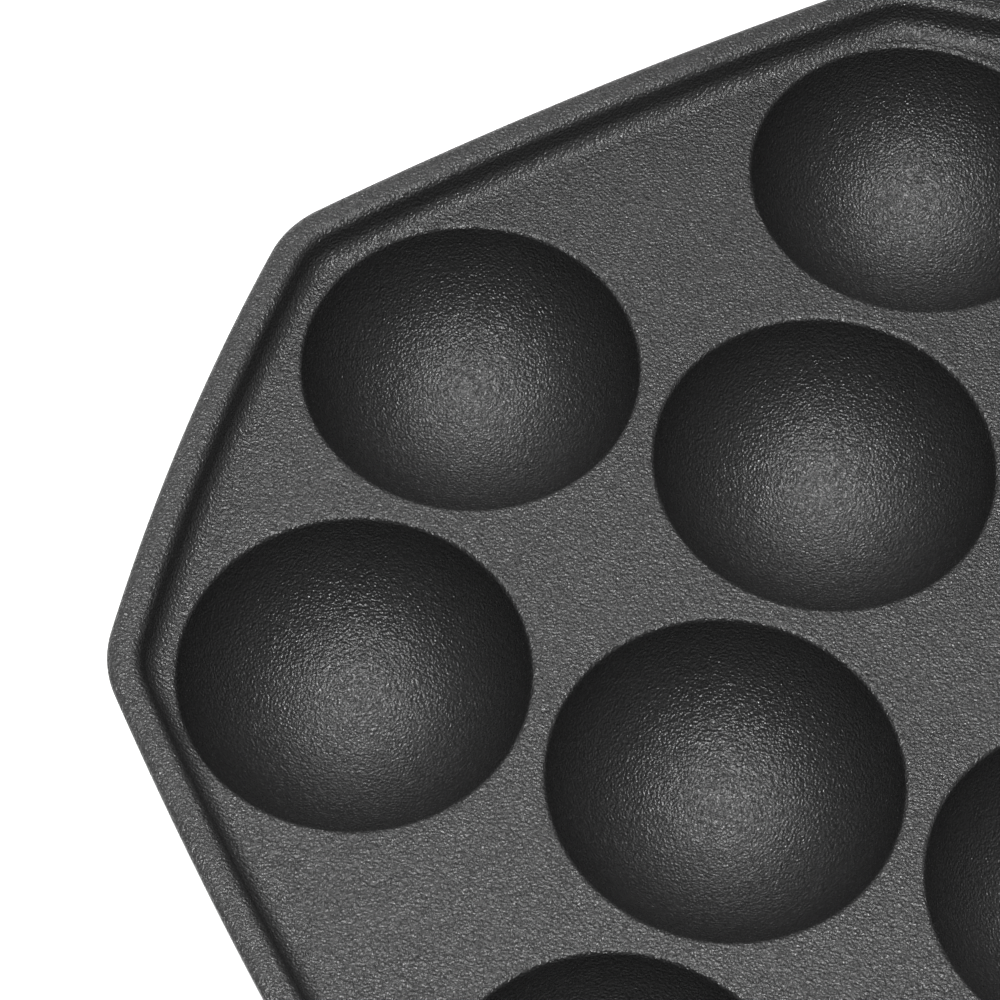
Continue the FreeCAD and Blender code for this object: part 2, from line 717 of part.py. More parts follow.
def bottom_cover():
    """The flat cover under the base, with pillars up to the reflector, vents, and holes for feet and
    screws."""
    body = new_body("bottom_cover")
    pad(body, octagon(body, "cover_wall + cover_clearance", "foot_height"), "cover_thickness")
    edge = "(spine_half_width - shell_wall - cover_clearance)"
    prism(body, "XY", "foot_height", "cover_top",
          rectangle(f"-{edge}", edge, "plate_half / 2", "spine_back - shell_wall - cover_clearance"))
    discs(body, "XY", "cover_top", "reflector_floor", quarters("support_place"), "pillar_radius")
    discs(body, "XY", "reflector_floor - stud_length - stud_clearance", "reflector_floor",
          quarters("support_place"), "stud_radius + stud_clearance", "Pocket")
    discs(body, "XY", "foot_height", "cover_top", foot_places(), "foot_stem_radius", "Pocket")
    discs(body, "XY", "foot_height", "cover_top", screw_places(), "screw_radius + stud_clearance", "Pocket")
    for sign in ("", "-"):
        start = f"{sign}vent_place"
        slot = prism(body, "XY", "foot_height", "cover_top", rectangle(
            f"{start} - vent_length / 2", f"{start} + vent_length / 2",
            "-(vent_count - 1) * vent_pitch / 2 - vent_width / 2",
            "-(vent_count - 1) * vent_pitch / 2 + vent_width / 2"), kind="Pocket")
        pattern(body, "LinearPattern", [slot], "Y", Length="(vent_count - 1) * vent_pitch",
                Occurrences="vent_count")
    return body


def rubber_feet():
    """Four tapered rubber feet whose stems plug into the bottom cover."""
    body = new_body("rubber_feet")
    for x, y in foot_places():
        turned(body, "XZ", [("0", "0"), ("foot_radius - foot_taper", "0"), ("foot_radius", "foot_height"),
                            ("foot_stem_radius", "foot_height"), ("foot_stem_radius", "cover_top"),
                            ("0", "cover_top")], x, y)
    return body


def cover_screws():
    """Five pan-head screws from below through the bottom cover into the housing's bosses."""
    body = new_body("cover_screws")
    for x, y in screw_places():
        turned(body, "XZ", [("0", "foot_height - screw_head_height"),
                            ("screw_head_radius", "foot_height - screw_head_height"),
                            ("screw_head_radius", "foot_height"), ("screw_radius", "foot_height"),
                            ("screw_radius", "foot_height + screw_length"),
                            ("0", "foot_height + screw_length")], x, y)
    return body


def reflector(label):
    """The pressed tray under the element that throws its heat back at the plate."""
    body = new_body(label)
    top = "reflector_floor + reflector_wall"
    gap = "shell_wall + reflector_clearance"
    octagon_loft(body, [("reflector_floor", shell_inset_at("reflector_floor", gap)),
                        (top, shell_inset_at(top, gap))])
    gap = f"{gap} + reflector_sheet"
    octagon_loft(body,
                 [("reflector_deck", shell_inset_at("reflector_deck", gap)), (top, shell_inset_at(top, gap))],
                 "SubtractiveLoft")
    for places, radius in ((quarters("support_place"), "stud_radius + stud_clearance"),
                           ([("-leg_half_spacing", "pitch"), ("leg_half_spacing", "pitch")],
                            "leg_hole_radius"),
                           ([("0", "0")], "thermostat_radius + sensor_gap")):
        discs(body, "XY", "reflector_floor", "reflector_deck", places, radius, "Pocket")
    return body


def plate_supports(label):
    """Four turned posts that stand on the reflector, studded into the pillars under it, and carry the
    plate."""
    body = new_body(label)
    low = "reflector_floor - stud_length"
    post = turned(body, "XZ", [("0", low), ("stud_radius", low), ("stud_radius", "reflector_deck"),
                               ("support_radius", "reflector_deck"), ("support_radius", "support_top"),
                               ("0", "support_top")], "support_place", "support_place")
    pattern(body, "PolarPattern", [post], "Z", Angle="360", Occurrences="4")
    return body


def element_clamps(label):
    """Three bent sheet cradles that hold the element's tube up from the reflector."""
    body = new_body(label)
    upright = prism(body, "XZ", "-clamp_sheet / 2", "clamp_sheet / 2", rectangle(
        "-pitch - clamp_width / 2", "-pitch + clamp_width / 2", "reflector_deck", "tube_level"))
    foot = prism(body, "XY", "reflector_deck", "reflector_deck + clamp_sheet", rectangle(
        "-pitch - clamp_width / 2", "-pitch + clamp_width / 2", "-clamp_sheet / 2", "clamp_foot"))
    cradle = discs(body, "XZ", "-clamp_foot", "clamp_foot", [("-pitch", "tube_level")],
                   "tube_radius + seat_clearance", "Pocket")
    pattern(body, "PolarPattern", [upright, foot, cradle], "Z", Angle="180", Occurrences="3")
    return body


def heating_element(label):
    """A sheathed tube element: one square loop between the rows of cups, with two legs down through the
    tray."""
    reach, level, bend, leg = (value(s) for s in ("pitch", "tube_level", "tube_bend", "leg_bend"))
    leg_x, leg_end = value("leg_half_spacing"), value("reflector_floor - leg_end")
    route = [(leg_x, reach, leg_end), (leg_x, reach, level), (reach, reach, level), (reach, -reach, level),
             (-reach, -reach, level), (-reach, reach, level), (-leg_x, reach, level),
             (-leg_x, reach, leg_end)]
    corners = [FreeCAD.Vector(*point) for point in route]
    radii = [leg] + [bend] * 4 + [leg]
    edges = []
    here = corners[0]
    for before, corner, after, radius in zip(corners, corners[1:], corners[2:], radii):
        back, on = (before - corner).normalize(), (after - corner).normalize()
        enter, leave = corner + back * radius, corner + on * radius
        middle = corner + (back + on) * radius * (1 - math.sqrt(0.5))
        edges += [Part.LineSegment(here, enter).toShape(), Part.Arc(enter, middle, leave).toShape()]
        here = leave
    edges.append(Part.LineSegment(here, corners[-1]).toShape())
    path = Part.Wire(edges)
    down = FreeCAD.Vector(0, 0, -1)
    radius = value("tube_radius")
    profile = Part.Wire(Part.makeCircle(radius, corners[0], down))
    tube = path.makePipeShell([profile], True, True)
    drawn, wanted = tube.Volume, path.Length * math.pi * radius ** 2
    print(f"{label}: tube volume {drawn:.0f}, section times length {wanted:.0f}")
    for end in (corners[0], corners[-1]):
        pin = Part.makeCylinder(value("terminal_radius"), value("terminal_length"), end, down)
        tube = tube.fuse(pin)
    piece = doc.addObject("Part::Feature", label)
    piece.Label = label
    piece.Shape = tube.removeSplitter()
    return piece


def thermostat(label):
    """A disc thermostat on the reflector, its head just under the plate."""
    body = new_body(label)
    turned(body, "XZ", [("0", "reflector_floor - thermostat_tail"),
                        ("thermostat_radius", "reflector_floor - thermostat_tail"),
                        ("thermostat_radius", "reflector_deck"),
                        ("thermostat_flange_radius", "reflector_deck"),
                        ("thermostat_flange_radius", "reflector_deck + thermostat_flange"),
                        ("thermostat_radius", "reflector_deck + thermostat_flange"),
                        ("thermostat_radius", "sensor_top - sensor_gap"), ("0", "sensor_top - sensor_gap")])
    return body


def thermal_fuse():
    """A thermal fuse in its saddle, hung under the reflector."""
    body = new_body("thermal_fuse")
    level = "reflector_floor - fuse_radius - clamp_sheet"
    discs(body, "YZ", "-fuse_place - fuse_length / 2", "-fuse_place + fuse_length / 2", [("0", level)],
          "fuse_radius")
    prism(body, "YZ", "-fuse_place - fuse_radius", "-fuse_place + fuse_radius", rectangle(
        "-fuse_radius - clamp_sheet", "fuse_radius + clamp_sheet", level, "reflector_floor"))
    return body


def terminal_block():
    """The three-way terminal block on the bottom cover."""
    body = new_body("terminal_block")
    prism(body, "XY", "cover_top", "cover_top + block_height", rectangle(
        "-block_width / 2", "block_width / 2", "block_place - block_length / 2",
        "block_place + block_length / 2"))
    level = "cover_top + block_height / 2"
    discs(body, "XZ", "-block_place - block_length / 2", "-block_place + block_length / 2",
          [("-block_width / 3", level), ("0", level), ("block_width / 3", level)], "block_hole_radius",
          "Pocket")
    return body


def power_inlet():
    """The appliance inlet in the back of the spine: flange outside, socket for the plug."""
    body = new_body("power_inlet")
    for width, height, front, back in (
            ("inlet_width", "inlet_height", "spine_back - inlet_depth", "spine_back"),
            ("inlet_width + 2 * inlet_flange_margin", "inlet_height + 2 * inlet_flange_margin",
             "spine_back", "inlet_face")):
        prism(body, "XZ", f"-({back})", f"-({front})", rectangle(
            f"-({width}) / 2", f"({width}) / 2", f"inlet_level - ({height}) / 2",
            f"inlet_level + ({height}) / 2"))
    prism(body, "XZ", "-inlet_face", "-inlet_face + socket_depth", rectangle(
        "-socket_width / 2", "socket_width / 2", "inlet_level - socket_height / 2",
        "inlet_level + socket_height / 2"),
        kind="Pocket")
    return body


def inlet_blades():
    """The inlet's three flat blades, the middle one for earth."""
    body = new_body("inlet_blades")
    root = "-inlet_face + socket_depth"
    for x, rise in (("-blade_spacing / 2", "-earth_rise / 2"), ("0", "earth_rise / 2"),
                    ("blade_spacing / 2", "-earth_rise / 2")):
        prism(body, "XZ", f"{root} - blade_length", root, rectangle(
            f"{x} - blade_width / 2", f"{x} + blade_width / 2", f"inlet_level + ({rise}) - blade_height / 2",
            f"inlet_level + ({rise}) + blade_height / 2"))
    return body


def lamp(label, place_xy):
    """One domed lamp lens, its stem down through the pod's roof."""
    body = new_body(label)
    flange = "lamp_radius + lamp_flange"
    turned(body, "XZ", [("0", "pod_top - 2 * shell_wall"), ("lamp_radius", "pod_top - 2 * shell_wall"),
                        ("lamp_radius", "pod_top"), (flange, "pod_top"), (flange, "pod_top + lamp_flange"),
                        ("lamp_radius", "pod_top + lamp_shoulder"),
                        ("lamp_radius / 2", "pod_top + lamp_rise"),
                        ("0", "pod_top + lamp_rise")], *place_xy)
    return body


def lamp_bulbs():
    """The two neon bulbs under the lenses."""
    body = new_body("lamp_bulbs")
    top = "pod_top - 2 * shell_wall"
    discs(body, "XY", f"{top} - bulb_length", top, lamp_places(), "bulb_radius")
    return body


def hinge_pins():
    """Two headed pins, one for each lid arm, pushed in from the outside."""
    body = new_body("hinge_pins")
    for low, high, radius in (("inner_lug", "hinge_reach", "pin_radius"),
                              ("hinge_reach", "hinge_reach + pin_head_height", "pin_head_radius")):
        discs(body, "YZ", low, high, [("hinge_y", "mating")], radius)
        discs(body, "YZ", f"-({high})", f"-({low})", [("hinge_y", "mating")], radius)
    return body


def lid_shell():
    """The lid's moulding: tapered wall, raised panel, hinge arms behind and handle pads in front."""
    body = new_body("lid_shell")
    stations = [("lid_rim", "shell_inset")]
    for turn in (0, 30, 60, 90):
        height = f"lid_top - shoulder_radius * (1 - sin({turn}))"
        stations.append((height, lid_inset_at(height, f"shoulder_radius * (1 - cos({turn}))")))
    octagon_loft(body, stations, corner="corner_radius")
    pad(body, octagon(body, lid_inset_at("lid_top", "panel_margin"), "lid_top", "corner_radius"),
        "panel_rise")
    for low, high in (("arm_inner", "arm_outer"), ("-arm_outer", "-arm_inner")):
        prism(body, "YZ", low, high, arm_profile())
        discs(body, "YZ", low, high, [("hinge_y", "mating")], "knuckle_radius")
    pads = []
    for low, high in (("handle_half_width - handle_arm", "handle_half_width"),
                      ("-handle_half_width", "-handle_half_width + handle_arm")):
        pads.append(rectangle(low, high, "handle_low", "handle_low + handle_height"))
    prism(body, "XZ", "plate_half / 2", "handle_root", *pads)
    bezel(body, "lid_button")
    octagon_loft(body, [("lid_rim", "shell_inset + shell_wall"),
                        ("lid_top - lid_roof", lid_inset_at("lid_top - lid_roof", "shell_wall + lid_roof"))],
                 "SubtractiveLoft")
    bezel_well(body, "lid_button")
    prism(body, "XZ", "-stem_half_width", "stem_half_width",
          [(x, f"2 * mating - ({z})") for x, z in fixed_hook()])
    floor = "(2 * mating - reflector_floor)"
    discs(body, "XY", floor, "lid_top - lid_roof / 2", quarters("support_place"), "pillar_radius")
    discs(body, "XY", floor, f"{floor} + stud_length + stud_clearance", quarters("support_place"),
          "stud_radius + stud_clearance", "Pocket")
    discs(body, "YZ", "-arm_outer", "arm_outer", [("hinge_y", "mating")], "pin_radius + pin_clearance",
          "Pocket")
    discs(body, "XZ", "screw_seat", "handle_root - handle_seat", handle_screw_places(), "screw_seat_radius")
    discs(body, "XZ", "screw_seat - 2 * screw_head_height", "screw_seat", handle_screw_places(),
          "screw_seat_radius",
          "Pocket")
    discs(body, "XZ", "screw_seat", "handle_root", handle_screw_places(),
          "handle_screw_radius + stud_clearance",
          "Pocket")
    return body


def arm_profile():
    """A hinge arm seen from the side: from the lid's back wall, over the plate's edge, down to the pin."""
    clear = "(plate_half + lug_plate_gap)"
    return [("plate_half - shell_inset - lid_rise * shell_slope / 2", "lid_rim + shell_gap"),
            (clear, "lid_rim + shell_gap"),
            (clear, "mating"), ("spine_back", "mating"), ("spine_back", "mating + arm_shoulder"),
            ("hinge_y - knuckle_radius / 2", "lid_rim + lid_rise / 2"),
            ("plate_half - shell_inset - lid_rise * shell_slope / 2", "lid_rim + lid_rise / 2")]


def handle_screw_places():
    """Where the handle's two screws pass through the lid's front wall."""
    x = "(handle_half_width - handle_arm / 2)"
    return [(x, "handle_mid"), (f"-{x}", "handle_mid")]


def lid_handle():
    """The handle: a bow in front of the lid with two arms, and two ears that carry the latch."""
    body = new_body("lid_handle")
    outer, inner = "handle_half_width", "(handle_half_width - handle_arm)"
    root, front, bevel = "-handle_root", "-handle_front", "handle_bevel"
    bar = "(handle_front - handle_bar)"
    bow = [(f"-{outer}", root), (f"-{outer}", f"{front} + {bevel}"), (f"-{outer} + {bevel}", front),
           (f"{outer} - {bevel}", front), (outer, f"{front} + {bevel}"), (outer, root), (inner, root),
           (inner, f"-{bar} + {bevel}"), (f"{inner} - {bevel}", f"-{bar}"),
           (f"-{inner} + {bevel}", f"-{bar}"),
           (f"-{inner}", f"-{bar} + {bevel}"), (f"-{inner}", root)]
    prism(body, "XY", "handle_low", "handle_low + handle_height", bow)
    face = value(root)
    round_edges(body, "handle_edge_radius", lambda edge: edge.BoundBox.YMin < face - 0.1)
    for low in ("latch_half_width + latch_gap", "-latch_half_width - latch_gap - latch_ear"):
        prism(body, "YZ", low, f"{low} + latch_ear", rectangle(
            "-latch_y", f"{front} + handle_edge_radius", "latch_z - latch_knuckle_radius",
            "latch_z + latch_knuckle_radius"))
        discs(body, "YZ", low, f"{low} + latch_ear", [("-latch_y", "latch_z")], "latch_knuckle_radius")
    reach = "(latch_half_width + latch_gap + latch_ear)"
    discs(body, "YZ", f"-{reach}", reach, [("-latch_y", "latch_z")], "latch_pin_radius + pin_clearance",
          "Pocket")
    discs(body, "XZ", "handle_root", "handle_root + handle_screw_depth", handle_screw_places(),
          "handle_screw_radius", "Pocket")
    return body


def handle_screws():
    """Two screws from inside the lid into the handle's arms."""
    body = new_body("handle_screws")
    discs(body, "XZ", "screw_seat - screw_head_height", "screw_seat", handle_screw_places(),
          "handle_screw_radius + screw_radius")
    discs(body, "XZ", "screw_seat", "handle_root + handle_screw_depth", handle_screw_places(),
          "handle_screw_radius")
    return body


def latch():
    """The locking latch: knuckle on the handle, flat strap, and a hook that goes under the base's catch."""
    body = new_body("latch")
    strap_back, strap_front = "-latch_back", "-latch_back - latch_sheet"
    low, top = "latch_bottom", "latch_bottom + latch_sheet"
    profile = [(strap_back, "latch_z"), (strap_back, top), (f"{strap_back} + latch_hook", top),
               (f"{strap_back} + latch_hook", f"{low} + latch_sheet / 2"),
               (f"{strap_back} + latch_sheet", low),
               (strap_front, low), (f"{strap_front} - latch_hook", f"{low} - latch_sheet"),
               (f"{strap_front} - latch_hook - latch_sheet / 2", low),
               (strap_front, f"{low} + 2 * latch_sheet"),
               (strap_front, "latch_z")]
    prism(body, "YZ", "-latch_half_width", "latch_half_width", profile)
    discs(body, "YZ", "-latch_half_width", "latch_half_width", [("-latch_y", "latch_z")],
          "latch_knuckle_radius")
    discs(body, "YZ", "-latch_half_width", "latch_half_width", [("-latch_y", "latch_z")],
          "latch_pin_radius + pin_clearance", "Pocket")
    return body


def latch_pin():
    """The latch's pin, through both ears."""
    body = new_body("latch_pin")
    reach = "(latch_half_width + latch_gap + latch_ear)"
    discs(body, "YZ", f"-{reach}", reach, [("-latch_y", "latch_z")], "latch_pin_radius")
    return body


def release_button(label):
    """A plate release: button face, stem through the wall, and the hook that holds the plate's tab."""
    body = new_body(label)
    prism(body, "YZ", "button_back", "button_outer", rectangle(
        "-button_half_width", "button_half_width", "button_middle - button_height / 2",
        "button_middle + button_height / 2"))
    prism(body, "XZ", "-stem_half_width", "stem_half_width", hook("button_back"))
    return body


def release_springs(label):
    """Two bowed leaf springs in the button's well, one each side of the stem."""
    body = new_body(label)
    low, high = "button_middle - button_height / 2 + hook_gap", "button_middle + button_height / 2 - hook_gap"
    rise, drop = "button_middle + stem_height / 2", "button_middle - stem_height / 2"
    leaf = [("button_wall", low), ("button_back - spring_strip", drop), ("button_back - spring_strip", rise),
            ("button_wall", high), ("button_wall + spring_strip", high), ("button_back", rise),
            ("button_back", drop), ("button_wall + spring_strip", low)]
    start = "stem_half_width + button_clearance"
    prism(body, "XZ", start, f"{start} + spring_width", leaf)
    prism(body, "XZ", f"-({start}) - spring_width", f"-({start})", leaf)
    return body


# The base's pieces stay where they are drawn.
left_lamp, right_lamp = lamp_places()
pieces = [cast_plate("lower_plate"), base_housing(), bottom_cover(), rubber_feet(), cover_screws(),
          reflector("lower_reflector"), plate_supports("lower_supports"), element_clamps("lower_clamps"),
          heating_element("lower_element"), thermostat("lower_thermostat"), thermal_fuse(), terminal_block(),
          power_inlet(), inlet_blades(), lamp("power_lamp", left_lamp), lamp("ready_lamp", right_lamp),
          lamp_bulbs(), hinge_pins(), release_button("lower_release"),
          release_springs("lower_release_springs")]
for piece in pieces:
    place(piece)

# The lid's plate, tray and element are the base's own, turned over.
turned_over = [cast_plate("upper_plate"), reflector("upper_reflector"), plate_supports("upper_supports"),
               element_clamps("upper_clamps"), heating_element("upper_element"),
               thermostat("upper_thermostat")]
for piece in turned_over:
    place(piece, flip="Y", swing=True)
releases = [release_button("upper_release"), release_springs("upper_release_springs")]
for piece in releases:
    place(piece, flip="X", swing=True)
lid_pieces = [lid_shell(), lid_handle(), handle_screws(), latch_pin()]
for piece in lid_pieces:
    place(piece, swing=True)
latch_piece = latch()
place(latch_piece, swing=True, latch=True)
pieces += turned_over + releases + lid_pieces + [latch_piece]

doc.recompute()
centre(pieces)
doc.recompute()
failed = [o.Label for o in doc.Objects if "Invalid" in o.State or "Error" in o.State]
failed += [p.Label for p in pieces if p.Shape.isNull() or not p.Shape.isValid()]
if failed:
    raise RuntimeError(f"failed: {failed}")

os.makedirs("parts", exist_ok=True)
for piece in pieces:
    solids = piece.Shape.Solids
    Part.Compound(solids).exportStep(os.path.join("parts", f"{piece.Label}.step"))
    print(f"{piece.Label}: {len(solids)} solids, {piece.Shape.Volume / 1000:.2f} cm3")
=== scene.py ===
import json
import math

import bmesh
import bpy
import numpy as np
from mathutils import Matrix, Vector
from mathutils.geometry import delaunay_2d_cdt


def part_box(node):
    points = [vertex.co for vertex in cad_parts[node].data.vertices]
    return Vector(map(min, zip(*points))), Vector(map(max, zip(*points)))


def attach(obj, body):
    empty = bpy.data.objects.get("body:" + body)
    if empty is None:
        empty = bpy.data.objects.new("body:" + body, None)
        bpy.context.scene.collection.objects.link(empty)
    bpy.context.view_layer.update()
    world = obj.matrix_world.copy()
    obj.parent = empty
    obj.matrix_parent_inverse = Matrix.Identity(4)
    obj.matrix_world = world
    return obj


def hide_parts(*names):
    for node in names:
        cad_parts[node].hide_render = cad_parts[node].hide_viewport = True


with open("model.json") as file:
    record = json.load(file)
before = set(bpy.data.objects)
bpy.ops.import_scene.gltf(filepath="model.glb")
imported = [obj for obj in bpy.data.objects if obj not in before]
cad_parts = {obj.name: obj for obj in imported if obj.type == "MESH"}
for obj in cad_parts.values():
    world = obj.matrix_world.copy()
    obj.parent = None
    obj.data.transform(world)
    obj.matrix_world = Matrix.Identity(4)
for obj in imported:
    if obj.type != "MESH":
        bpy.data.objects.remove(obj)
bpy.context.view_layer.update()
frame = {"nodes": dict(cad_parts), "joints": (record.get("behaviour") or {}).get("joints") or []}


# ---- The two cooking plates
# Die-cast aluminium plates with a raised lip and twelve round cups, sprayed with a black non-stick
# coating whose fine wrinkled grain breaks the light into small glints. Both come from one mould: the
# upper one is turned over and clips into the lid.

MM = 0.001
# Cups: their spacing, and the sphere whose centre lies over the cooking face, with a rounded mouth and a
# narrow land round it. Heights are over the face, whose middle is the plate's own origin.
PITCH = 43.0 * MM
CUP_RADIUS = 20.0 * MM
CUP_SPHERE = 19.9 * MM
CUP_CENTRE = 1.9 * MM
CUP_EDGE = 0.6 * MM
CUP_LAND = 0.6 * MM
CUP_STEPS = 112
MOUTH_RINGS = 8
BOWL_RINGS = 34
CELLS = [(a * PITCH, b * PITCH) for a in (-1.5, -0.5, 0.5, 1.5) for b in (-1.5, -0.5, 0.5, 1.5)
         if abs(a) + abs(b) < 2.5]
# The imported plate: its cooking face lies a little over the fine one, and its cups' spheres are larger.
CAST_FACE = 0.9 * MM
CAST_SPHERE = 20.111 * MM
CAST_CENTRE = CAST_FACE + 2.111 * MM
# Outline: the reach and bow radius of straight and diagonal sides, and the corners' radius.
SIDES = ((92.27 * MM, 300.0 * MM), (87.68 * MM, 590.0 * MM))
CORNER = 13.0 * MM
OUTLINE_STEP = 0.9 * MM
# Lip: sizes of its cross-section, from the outline inwards.
LIP_HEIGHT = 4.3 * MM
LIP_THICKNESS = 2.2 * MM
LIP_OVERHANG = 3.1 * MM
LIP_OUTER_REACH = 1.3 * MM
LIP_OUTER_DROP = 0.75 * MM
LIP_FLAT_END = 2.6 * MM
LIP_INNER_EDGE = 1.25 * MM
LIP_WALL_ANGLE = math.radians(80)
LIP_FILLET = 2.5 * MM
FILLET_STEPS = 15
# The face's own mesh starts inside the lip's foot, with close rows of points where the foot curves.
WEB_EDGE = 4.6 * MM
WEB_STEP = 0.2 * MM
WELD = 0.002 * MM


def outline_arcs():
    """The sixteen arcs of the plate's outline in turn, each as centre x, centre y, radius, first and last
    angle. A side's centre lies its bow radius behind its middle; a corner's centre is the point that is
    the bow radius less the corner radius from the centres of both sides beside it."""
    centres = []
    for k in range(8):
        reach, bow = SIDES[k % 2]
        turn = k * math.pi / 4
        centres.append((np.array([math.cos(turn), math.sin(turn)]) * (reach - bow), bow))
    corners = []
    for k in range(8):
        (c0, r0), (c1, r1) = centres[k], centres[(k + 1) % 8]
        d0, d1, gap = r0 - CORNER, r1 - CORNER, np.linalg.norm(c1 - c0)
        along = (d0 * d0 - d1 * d1 + gap * gap) / (2 * gap)
        across = math.sqrt(d0 * d0 - along * along)
        unit = (c1 - c0) / gap
        normal = np.array([-unit[1], unit[0]])
        places = [c0 + unit * along + normal * side * across for side in (1, -1)]
        corners.append(max(places, key=lambda p: np.dot(p, [math.cos((k + 0.5) * math.pi / 4),
                                                            math.sin((k + 0.5) * math.pi / 4)])))
    arcs = []
    for k in range(8):
        centre, bow = centres[k]
        first, last = corners[k - 1] - centre, corners[k] - centre
        arcs.append((*centre, bow, math.atan2(first[1], first[0]), math.atan2(last[1], last[0])))
        after = centres[(k + 1) % 8][0]
        first, last = corners[k] - centre, corners[k] - after
        arcs.append((*corners[k], CORNER, math.atan2(first[1], first[0]), math.atan2(last[1], last[0])))
    return arcs


ARCS = outline_arcs()


def outline(inset):
    """Points round the outline moved inwards by inset: every arc keeps its centre and angles, and its
    radius is less by the inset. The number of points doesn't depend on the inset."""
    points = []
    for cx, cy, radius, first, last in ARCS:
        span = (last - first + math.pi) % (2 * math.pi) - math.pi
        count = max(12, round(abs(span) * radius / OUTLINE_STEP))
        turn = first + span * np.arange(count) / count
        points.append([cx, cy] + (radius - inset) * np.stack([np.cos(turn), np.sin(turn)], 1))
    return np.concatenate(points)


def inset_of(points):
    """How far points lie inside the outline: the least distance to a side's arc, or inside a corner's
    wedge the corner radius less the distance from the corner's centre."""
    depth = np.full(len(points), np.inf)
    for cx, cy, radius, first, last in ARCS[::2]:
        depth = np.minimum(depth, radius - np.hypot(points[:, 0] - cx, points[:, 1] - cy))
    for cx, cy, radius, first, last in ARCS[1::2]:
        away = points - [cx, cy]
        turn = (np.arctan2(away[:, 1], away[:, 0]) - first) % (2 * math.pi)
        wedge = turn < (last - first) % (2 * math.pi)
        depth = np.where(wedge, radius - np.hypot(*away.T), depth)
    return depth


def lip_profile():
    """Inset and height pairs from under the overhanging lip to the cooking face: outwards below it, a
    quarter arc up to its outermost point, a quarter of an ellipse over to the flat top, an arc down to
    the inner wall's angle, the straight wall, and a hollow arc that levels out on the face."""
    quarter = np.linspace(0, math.pi / 2, 7)
    bend = np.linspace(0, LIP_WALL_ANGLE, 9)
    hollow = np.linspace(LIP_WALL_ANGLE, 0, FILLET_STEPS)
    under = LIP_HEIGHT - LIP_THICKNESS
    round_under = LIP_THICKNESS - LIP_OUTER_DROP
    lower = np.stack([1 - np.sin(quarter), 1 - np.cos(quarter)], 1) * round_under + [0, under]
    upper = np.stack([LIP_OUTER_REACH * (1 - np.cos(quarter)),
                      LIP_HEIGHT - LIP_OUTER_DROP * (1 - np.sin(quarter))], 1)
    inner = np.stack([LIP_FLAT_END + LIP_INNER_EDGE * np.sin(bend),
                      LIP_HEIGHT - LIP_INNER_EDGE * (1 - np.cos(bend))], 1)
    wall = (inner[-1, 1] - LIP_FILLET * (1 - math.cos(LIP_WALL_ANGLE))) / math.tan(LIP_WALL_ANGLE)
    level = inner[-1, 0] + wall + LIP_FILLET * math.sin(LIP_WALL_ANGLE)
    fillet = np.stack([level - LIP_FILLET * np.sin(hollow), LIP_FILLET * (1 - np.cos(hollow))], 1)
    beneath = np.linspace((LIP_OVERHANG, under), lower[0], 4)[:-1]
    flat = np.linspace(upper[-1], inner[0], 4)[1:-1]
    return np.concatenate([beneath, lower, upper[1:], flat, inner, fillet[1:]])


PROFILE = lip_profile()


def face_height(inset):
    """Height of the cooking face over its level, read off the profile between the lip and the cups."""
    return np.interp(inset, *PROFILE[1 - FILLET_STEPS:].T)


def lip_mesh():
    """The lip's grid of points and faces: one row round the outline for each profile pair."""
    rows = [pair for pair in PROFILE if pair[0] < WEB_EDGE - 0.1 * MM]
    rows.append(np.array([WEB_EDGE, face_height(WEB_EDGE)]))
    rings = [np.c_[outline(inset), np.full(len(outline(0)), height)] for inset, height in rows]
    return grid_faces(rings)


def grid_faces(rings, pole=False):
    """Joins rings of equal length by quads, each ring closed on itself. A pole is one last point that the
    last ring fans in to."""
    count, size = len(rings), len(rings[0])
    row, place = np.meshgrid(np.arange(count - 1), np.arange(size), indexing="ij")
    after = (place + 1) % size
    quads = np.stack([row * size + place, row * size + after, (row + 1) * size + after,
                      (row + 1) * size + place], -1).reshape(-1, 4)
    faces = quads.tolist()
    points = np.concatenate(rings)
    if pole:
        last = (count - 1) * size
        faces += [[last + i, last + (i + 1) % size, len(points)] for i in range(size)]
        points = np.vstack([points, [*rings[-1][:, :2].mean(0), rings[-1][0, 2] - 1e-6]])
    return points, faces


def cup_mesh(cx, cy):
    """A cup turned about its axis: a flat land, an arc that rounds the mouth, and the hollow sphere down to
    its lowest point. The land follows the face's height where it meets the lip's foot, and the rounding
    lets go of it."""
    centre = math.sqrt((CUP_SPHERE + CUP_EDGE) ** 2 - (CUP_CENTRE + CUP_EDGE) ** 2)
    lean = math.atan2(CUP_CENTRE + CUP_EDGE, centre)
    roll = np.linspace(0, math.pi / 2 - lean, MOUTH_RINGS)
    mouth = np.stack([centre - CUP_EDGE * np.sin(roll), -CUP_EDGE * (1 - np.cos(roll))], 1)
    fall = np.linspace(-lean, -math.pi / 2, BOWL_RINGS)[1:-1]
    bowl = np.stack([CUP_SPHERE * np.cos(fall), CUP_CENTRE + CUP_SPHERE * np.sin(fall)], 1)
    turn = np.linspace(0, 2 * math.pi, CUP_STEPS, endpoint=False)
    land = np.stack([np.linspace(CUP_RADIUS + CUP_LAND, centre, 3)[:-1], np.zeros(2)], 1)
    rings = []
    for radius, height in np.concatenate([land, mouth, bowl]):
        ring = np.stack([cx + radius * np.cos(turn), cy + radius * np.sin(turn)], 1)
        lift = np.interp(radius, [mouth[-1, 0], centre], [0, 1]) * face_height(inset_of(ring))
        rings.append(np.c_[ring, height + lift])
    return grid_faces(rings, pole=True), rings[0]


